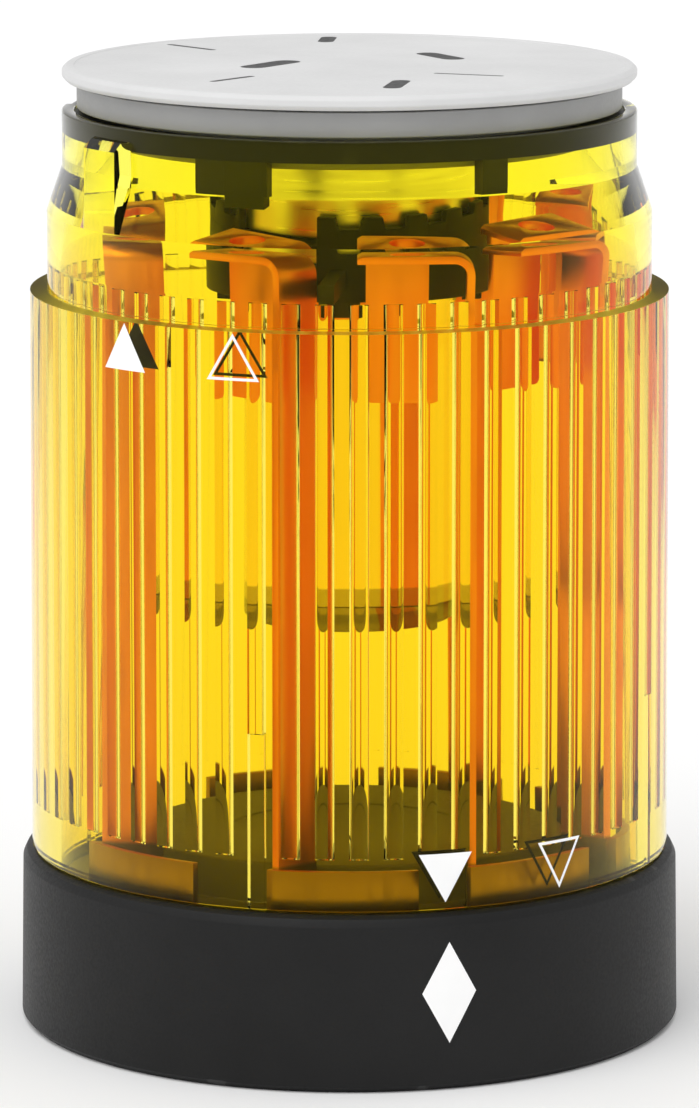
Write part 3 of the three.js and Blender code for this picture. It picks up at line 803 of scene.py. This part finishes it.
# ---------- floor, seal and light source ----------
def build_floor():
    """The dark grey floor: a flange, a raised drum with a hub and webs under it, and slots for the pins."""
    radius, low, high = FLOOR_HIGH[0], 17.4, 18.4
    hub, hub_wall, hub_bottom = 9.0, 1.6, FLOOR_LOW[2]
    drum, drum_wall, drum_top = 23.5, 1.2, FLOOR_HIGH[2]
    pan, pan_depth = 13.0, 0.15
    web_half = 0.5
    ceiling = drum_top - drum_wall
    profile = rounded([
        (0.0, ceiling, 0),
        (hub - hub_wall, ceiling, 0.3),
        (hub - hub_wall, hub_bottom, 0.3),
        (hub, hub_bottom, 0.3),
        (hub, ceiling, 0.3),
        (drum - drum_wall, ceiling, 0.3),
        (drum - drum_wall, low, 0.2),
        (radius, low, 0.15),
        (radius, high, 0.2),
        (drum, high, 0.2),
        (drum, drum_top, 0.3),
        (pan + 0.2, drum_top, 0.1),
        (pan, drum_top - pan_depth, 0.1),
        (0.0, drum_top - pan_depth, 0),
    ], closed=False)
    floor = turned("floor_plate", profile, 240)
    webs = []
    for angle in STRIP_ANGLES:
        web = block([-web_half, -drum + 1.0, low + 0.4], [web_half, -hub + 0.6, ceiling + 0.3])
        webs.append(turn_mesh(web, angle))
    combine(floor, webs, "UNION")
    gap = 0.3
    slots = []
    for angle in STRIP_ANGLES:
        slot = block(
            [STRIP["side"] - STRIP["thick"] - gap, -PIN["front"] - gap, low - 1],
            [STRIP["side"] + gap, -PIN["back"] + gap, high + 1],
        )
        slots.append(turn_mesh(slot, angle))
    combine(floor, slots, "DIFFERENCE")
    soften(floor, 0.1)
    finish_piece(floor, HOUSING, "floor", "floor_grey", "inner_floor")


def build_gasket():
    low, high = GASKET_LOW[2], GASKET_HIGH[2]
    inner, outer = 29.6, GASKET_HIGH[0]
    middle = (low + high) / 2
    profile = rounded([
        (inner, low, 0.1),
        (inner + 0.5, low + 0.08, 0.1),
        ((inner + outer) / 2, low, 0.2),
        (outer - 0.5, low + 0.08, 0.1),
        (outer, low, 0.1),
        (outer, middle, 0),
        (outer, high, 0.1),
        (inner, high, 0.1),
    ])
    gasket = turned("seal_ring", profile, 240)
    finish_piece(gasket, HOUSING, "rubber", "black_rubber", "seat_gasket")


def build_rod():
    radius, low, high = ROD_HIGH[0], ROD_LOW[2], ROD_HIGH[2]
    profile = rounded([
        (0.0, low, 0),
        (radius, low, 0.2),
        (radius, high, 0.3),
        (0.0, high, 0),
    ], steps=5, closed=False)
    rod = turned("light_pipe", profile, 192)
    finish_piece(rod, HOUSING, "rod", "rod_yellow", "light_rod")


def build_light_source():
    """The board with its small components, and the chip with a domed cap."""
    radius, low, high = BOARD_HIGH[0], BOARD_LOW[2], BOARD_HIGH[2]
    profile = rounded([(0.0, low, 0), (radius, low, 0.1), (radius, high, 0.1), (0.0, high, 0)], closed=False)
    board = turned("circuit_board", profile, 120)
    finish_piece(board, HOUSING, "board", "board_green", "led_board")
    half = CHIP_HIGH[0]
    body_low = CHIP_LOW[2] + 0.5
    body = rounded([(-half, -half, 0.4), (half, -half, 0.4), (half, half, 0.4), (-half, half, 0.4)])
    chip = prism("light_chip", body, body_low, CHIP_HIGH[2])
    dome = turned("tool", rounded([
        (0.0, CHIP_LOW[2], 0),
        (half * 0.55, CHIP_LOW[2] + 0.05, 0.3),
        (half * 0.8, body_low + 0.2, 0),
        (0.0, body_low + 0.2, 0),
    ], closed=False), 48)
    combine(chip, [dome], "UNION")
    soften(chip, 0.05)
    finish_piece(chip, HOUSING, "led", "led_yellow", "led_chip")
    part_half, part_inner, part_outer = 0.8, 7.2, 8.4
    for number, angle in enumerate(around(6, 30.0), start=1):
        part = block([-part_half, -part_outer, low - 0.65], [part_half, -part_inner, low - 0.05])
        part.name = f"board_part_{number}"
        soften(turn_mesh(part, angle), 0.06)
        finish_piece(part, HOUSING, "solder" if number % 2 else "black", "black_plastic")


# ---------- crown, sleeve and neck ring ----------
def shape_crown_wall(angles, radii, heights):
    """Raises the wall's top into teeth with sloping sides."""
    pitch = 360.0 / TEETH["count"]
    off = np.abs((angles - TEETH["first"] + pitch / 2) % pitch - pitch / 2)
    share = np.clip((pitch * TEETH["half_share"] - off) / (pitch * TEETH["slope_share"]), 0, 1)
    rise = (CROWN_HIGH[2] - CROWN["high"]) * share
    return radii, np.where(heights > CROWN["high"] - 0.5, heights + rise, heights)


def build_crown():
    """The castellated ring: a ring with a toothed wall on it, four legs under it and three arms."""
    radius, bore, low, seat = (CROWN[k] for k in ("radius", "bore", "low", "seat"))
    wall_inner, wall_outer, wall_low = CROWN["wall_bore"], radius - 0.02, seat - 0.6
    ring = turned("crown_ring", rounded([
        (bore, low, 0.2),
        (radius, low, 0.3),
        (radius, seat, 0),
        (bore, seat, 0.2),
    ]), 240)
    wall = turned("tool", rounded([
        (wall_inner, wall_low, 0),
        (wall_outer, wall_low, 0),
        (wall_outer, CROWN["high"], 0.1),
        (wall_inner, CROWN["high"], 0.1),
    ]), TEETH["count"] * 24, shape_crown_wall)
    window = sector(bore, radius + 1, CROWN_WINDOW["start"], CROWN_WINDOW["end"], seat, CROWN_HIGH[2] + 1)
    combine(wall, [window], "DIFFERENCE")
    tools = [wall]
    half = CROWN_LEGS["half_width"]
    for angle in CROWN_LEGS["angles"]:
        leg = block([-half, -CROWN_LEGS["outer"], CROWN_LOW[2]], [half, -bore - 0.2, CROWN_LEGS["top"]])
        tools.append(turn_mesh(leg, angle))
    half = CROWN_ARMS["half_width"]
    for angle in CROWN_ARMS["angles"]:
        arm = block(
            [-half, -CROWN_ARMS["reach"], CROWN_ARMS["low"]],
            [half, -radius + 1, CROWN_ARMS["high"]],
        )
        tools.append(turn_mesh(arm, angle))
    combine(ring, tools, "UNION")
    soften(ring, 0.12)
    finish_piece(ring, HOUSING, "black", "black_plastic", "crown_holder")


def build_sleeve():
    outer, low, high = SLEEVE_HIGH[0], SLEEVE_LOW[2], SLEEVE_HIGH[2]
    inner, lip_inner, lip = 13.7, 12.9, 0.7
    profile = rounded([
        (inner, low, 0.1),
        (outer, low, 0.2),
        (outer, high, 0.8),
        (lip_inner, high, 0.15),
        (lip_inner, high - lip, 0.1),
        (inner, high - lip, 0.3),
    ])
    sleeve = turned("socket_sleeve", profile, 240)
    finish_piece(sleeve, HOUSING, "steel", "sleeve_metal", "lamp_sleeve")


def build_neck_ring():
    """The band reaches just into the neck, so no air gap shows between them through the lens."""
    outer, inner, top = NECK_RING_HIGH[0], 27.6, NECK_RING_HIGH[2]
    band_outer = NECK_BORE + 0.02
    ring = turned("neck_band", rounded([
        (inner, NECK_RING_BOTTOM, 0.1),
        (band_outer, NECK_RING_BOTTOM, 0.05),
        (band_outer, top, 0.05),
        (inner, top, 0.2),
    ]), 360)
    tabs = [
        sector(inner + 0.2, outer - 0.1, start, end, low, NECK_RING_BOTTOM + 0.5, step=1.0)
        for start, end, low in NECK_TABS
    ]
    combine(ring, tabs, "UNION")
    soften(ring, 0.12)
    finish_piece(ring, HOUSING, "black", "black_plastic", "neck_ring")


# ---------- closing cap ----------
def slot_tool(x, y, length, width, turn, low, high):
    """A round-ended bar, as a tool or as the fill of a slot."""
    half, end = length / 2, width / 2
    outline = arc((half - end, 0), end, -90, 90) + arc((end - half, 0), end, 90, 270)
    bar = prism("tool", outline, low, high)
    turn_mesh(bar, turn)
    bar.data.transform(Matrix.Translation((x * MM, y * MM, 0)))
    return bar


def build_cover():
    """The white disc with a raised rim line and sunk slots, whose black fills are painted shade for the dark
    inside of openings.
    """
    edge, rim_outer, rim_inner, drop = 0.5, 1.3, 1.4, 0.1
    cover = turned("cap_disc", rounded([
        (0.0, COVER_BOTTOM, 0),
        (COVER_RADIUS - edge, COVER_BOTTOM, 0.3),
        (COVER_RADIUS, COVER_BOTTOM + edge, 0.3),
        (COVER_RADIUS, COVER_TOP - 0.45, 0.3),
        (COVER_RADIUS - edge, COVER_TOP, 0.3),
        (COVER_RADIUS - rim_outer, COVER_TOP, 0.1),
        (COVER_RADIUS - rim_inner, COVER_TOP - drop, 0.05),
        (0.0, COVER_TOP - drop, 0),
    ], closed=False), 360)
    tools = [slot_tool(*slot, COVER_TOP - SLOT_DEPTH, COVER_TOP + 1) for slot in COVER_SLOTS]
    combine(cover, tools, "DIFFERENCE")
    soften(cover, 0.06, sharp_degrees=15.0)
    finish_piece(cover, CAP, "white", "cover_white", "top_cover")
    # Painted shade: each slot is nearly filled with black, as the dark inside of an opening.
    low, high = COVER_TOP - SLOT_DEPTH + SLOT_SHADE_FILL["lift"], COVER_TOP - SLOT_SHADE_FILL["sunk"]
    less = SLOT_SHADE_FILL["narrower"]
    for number, (x, y, length, width, turn) in enumerate(COVER_SLOTS, start=1):
        fill = slot_tool(x, y, length - less, width - less, turn, low, high)
        fill.name = f"slot_painted_shade_{number}"
        finish_piece(fill, CAP, "black", "black_plastic")


def build_collar():
    collar = turned("cap_collar", rounded([
        (COLLAR_BORE, COLLAR_LOW[2], 0.2),
        (SPIGOT_RADIUS, COLLAR_LOW[2], 0.5),
        (SPIGOT_RADIUS, COLLAR_BOTTOM, 0.1),
        (COLLAR_RADIUS, COLLAR_BOTTOM, 0.2),
        (COLLAR_RADIUS, COLLAR_HIGH[2], 0.1),
        (COLLAR_BORE, COLLAR_HIGH[2], 0.1),
    ]), 360)
    finish_piece(collar, CAP, "grey", "collar_grey", "cover_collar")


# ---------- stage ----------
def build_camera():
    data = bpy.data.cameras.new("camera")
    data.sensor_fit = "VERTICAL"
    data.sensor_height = CAMERA["sensor"]
    data.lens = CAMERA["lens"]
    data.clip_start, data.clip_end = 0.01, 50.0
    camera = bpy.data.objects.new("camera", data)
    camera.location = (0.0, -CAMERA["distance"], CAMERA["height"])
    camera.rotation_euler = (math.radians(90 - CAMERA["pitch_down"]), 0.0, 0.0)
    bpy.context.scene.collection.objects.link(camera)
    bpy.context.scene.camera = camera


def build_stage():
    """A pale floor of 12 metres radius, whose top is just under the plane that the object stands on."""
    radius, low, high = 12.0 / MM, -50.0, -0.02
    stage_floor = turned("stage_floor", [(0.0, low), (radius, low), (radius, high), (0.0, high)], 64)
    material, tree, shader, place = new_material("stage_pale")
    slow = noise(tree, place, 300.0)
    pale = mixed(tree, mapped(tree, slow, 0.0, 1.0), (0.92, 0.92, 0.92, 1), (0.94, 0.94, 0.94, 1))
    tree.links.new(pale, shader.inputs["Base Color"])
    shader.inputs["Roughness"].default_value = 0.9
    shader.inputs["Specular IOR Level"].default_value = 0.0
    stage_floor.data.materials.append(material)


def build_light():
    """A pale room that is brighter at and below the horizon, and one wide soft lamp."""
    world = bpy.data.worlds.new("studio")
    world.use_nodes = True
    bpy.context.scene.world = world
    tree = world.node_tree
    background = tree.nodes["Background"]
    background.inputs["Strength"].default_value = 1.2
    parts = tree.nodes.new("ShaderNodeSeparateXYZ")
    place = tree.nodes.new("ShaderNodeTexCoord").outputs["Generated"]
    tree.links.new(place, parts.inputs["Vector"])
    ramp = tree.nodes.new("ShaderNodeValToRGB")
    shades = [(0.0, 1.0), (0.05, 1.0), (0.16, 0.5), (0.5, 0.6), (1.0, 0.9)]
    while len(ramp.color_ramp.elements) < len(shades):
        ramp.color_ramp.elements.new(0.5)
    for element, (position, shade) in zip(ramp.color_ramp.elements, shades):
        element.position = position
        element.color = (shade, shade, shade, 1.0)
    tree.links.new(parts.outputs["Z"], ramp.inputs["Fac"])
    tree.links.new(ramp.outputs["Color"], background.inputs["Color"])
    lamp_data = bpy.data.lights.new("soft_sun", "SUN")
    lamp_data.angle = math.radians(50)
    lamp_data.energy = 1.0
    lamp = bpy.data.objects.new("soft_sun", lamp_data)
    lamp.rotation_euler = (math.radians(35), 0.0, math.radians(-35))
    bpy.context.scene.collection.objects.link(lamp)


def set_look():
    scene = bpy.context.scene
    scene.view_settings.view_transform = "Standard"
    scene.view_settings.look = "None"
    scene.cycles.max_bounces = 24
    scene.cycles.transmission_bounces = 20
    scene.cycles.glossy_bounces = 8
    scene.cycles.diffuse_bounces = 4


build_camera()
build_stage()
build_light()
set_look()
build_lens()
build_ring()
build_marks()
build_contacts()
build_floor()
build_gasket()
build_rod()
build_light_source()
build_crown()
build_sleeve()
build_neck_ring()
build_cover()
build_collar()
